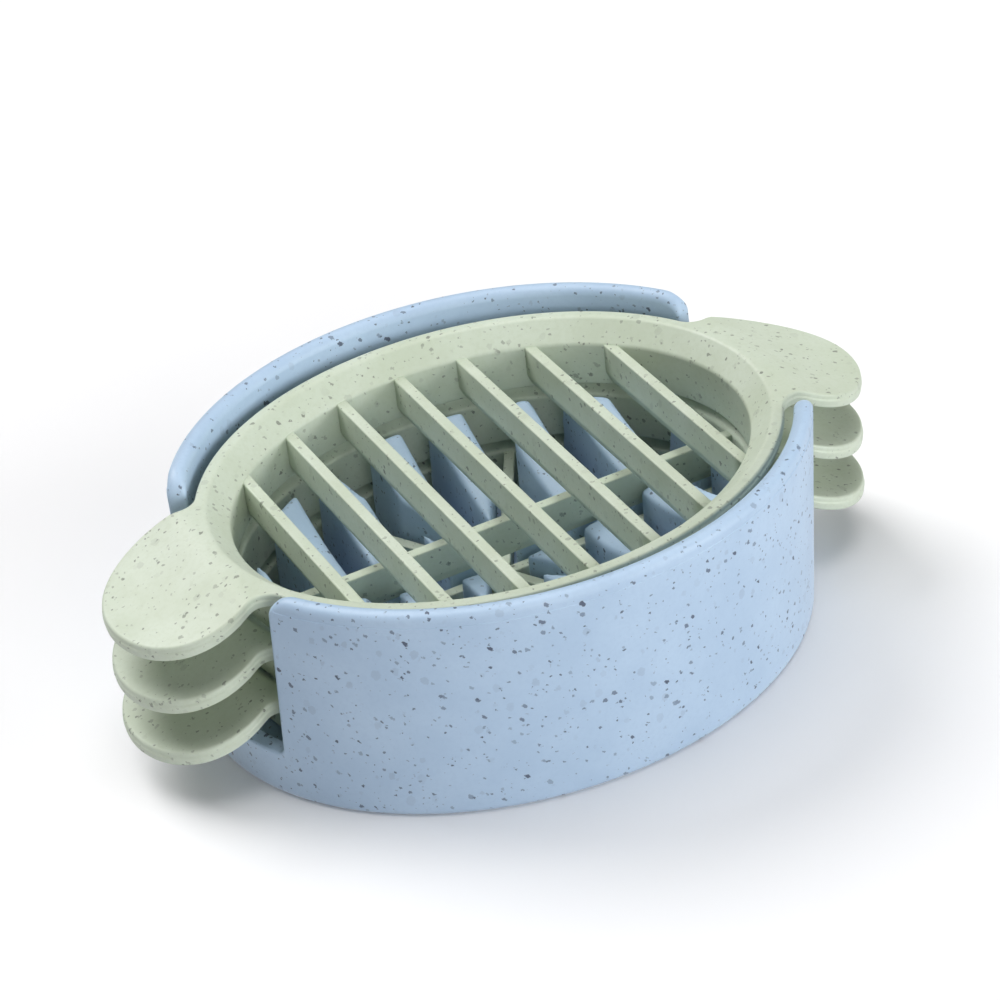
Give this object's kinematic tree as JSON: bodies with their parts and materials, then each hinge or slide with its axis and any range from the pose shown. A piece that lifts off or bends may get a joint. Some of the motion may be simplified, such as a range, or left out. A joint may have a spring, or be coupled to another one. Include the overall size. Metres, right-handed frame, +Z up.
{
  "type": "egg slicer",
  "caption": "Oval tray with a post cradle for a boiled egg and three stacked lift-out cutting frames for slices, wedges and halves.",
  "frame": {"origin": "middle of the underside of the tray", "axes": "+X runs through the ears, to the right; +Y to the back, along the slicer's blades; +Z up"},
  "size_m": [0.1126, 0.076, 0.0333],
  "materials": {
    "base_plastic": "matte pale blue with fine dark flecks",
    "frame_plastic": "matte pale sage green with fine dark flecks"
  },
  "bodies": {
    "base": {"base_floor": "base_plastic", "frame_ledge": "base_plastic", "base_wall_front": "base_plastic", "base_wall_back": "base_plastic", "sill_left": "base_plastic", "sill_right": "base_plastic", "cradle_post_front_1": "base_plastic", "cradle_post_front_2": "base_plastic", "cradle_post_front_3": "base_plastic", "cradle_post_front_4": "base_plastic", "cradle_post_front_5": "base_plastic", "cradle_post_front_6": "base_plastic", "cradle_post_front_7": "base_plastic", "cradle_post_front_8": "base_plastic", "cradle_post_back_1": "base_plastic", "cradle_post_back_2": "base_plastic", "cradle_post_back_3": "base_plastic", "cradle_post_back_4": "base_plastic", "cradle_post_back_5": "base_plastic", "cradle_post_back_6": "base_plastic", "cradle_post_back_7": "base_plastic", "cradle_post_back_8": "base_plastic", "cradle_stub_front_left": "base_plastic", "cradle_stub_front_right": "base_plastic", "cradle_stub_back_left": "base_plastic", "cradle_stub_back_right": "base_plastic"},
    "wedger_frame": {"wedger_ring": "frame_plastic", "wedger_ear_left": "frame_plastic", "wedger_ear_right": "frame_plastic", "wedger_blade_long": "frame_plastic", "wedger_blade_back_left": "frame_plastic", "wedger_blade_back_right": "frame_plastic", "wedger_blade_front_left": "frame_plastic", "wedger_blade_front_right": "frame_plastic"},
    "halver_frame": {"halver_ring": "frame_plastic", "halver_ear_left": "frame_plastic", "halver_ear_right": "frame_plastic", "halver_blade": "frame_plastic"},
    "slicer_frame": {"slicer_ring": "frame_plastic", "slicer_ear_left": "frame_plastic", "slicer_ear_right": "frame_plastic", "slicer_blade_1": "frame_plastic", "slicer_blade_2": "frame_plastic", "slicer_blade_3": "frame_plastic", "slicer_blade_4": "frame_plastic", "slicer_blade_5": "frame_plastic", "slicer_blade_6": "frame_plastic", "slicer_blade_7": "frame_plastic"}
  },
  "joints": [
    {"name": "wedger_lift", "type": "slide", "parent": "base", "child": "wedger_frame", "axis": [0, 0, 1], "range_m": [0, 0.06]},
    {"name": "halver_lift", "type": "slide", "parent": "wedger_frame", "child": "halver_frame", "axis": [0, 0, 1], "range_m": [0, 0.06]},
    {"name": "slicer_lift", "type": "slide", "parent": "halver_frame", "child": "slicer_frame", "axis": [0, 0, 1], "range_m": [0, 0.06]}
  ]
}
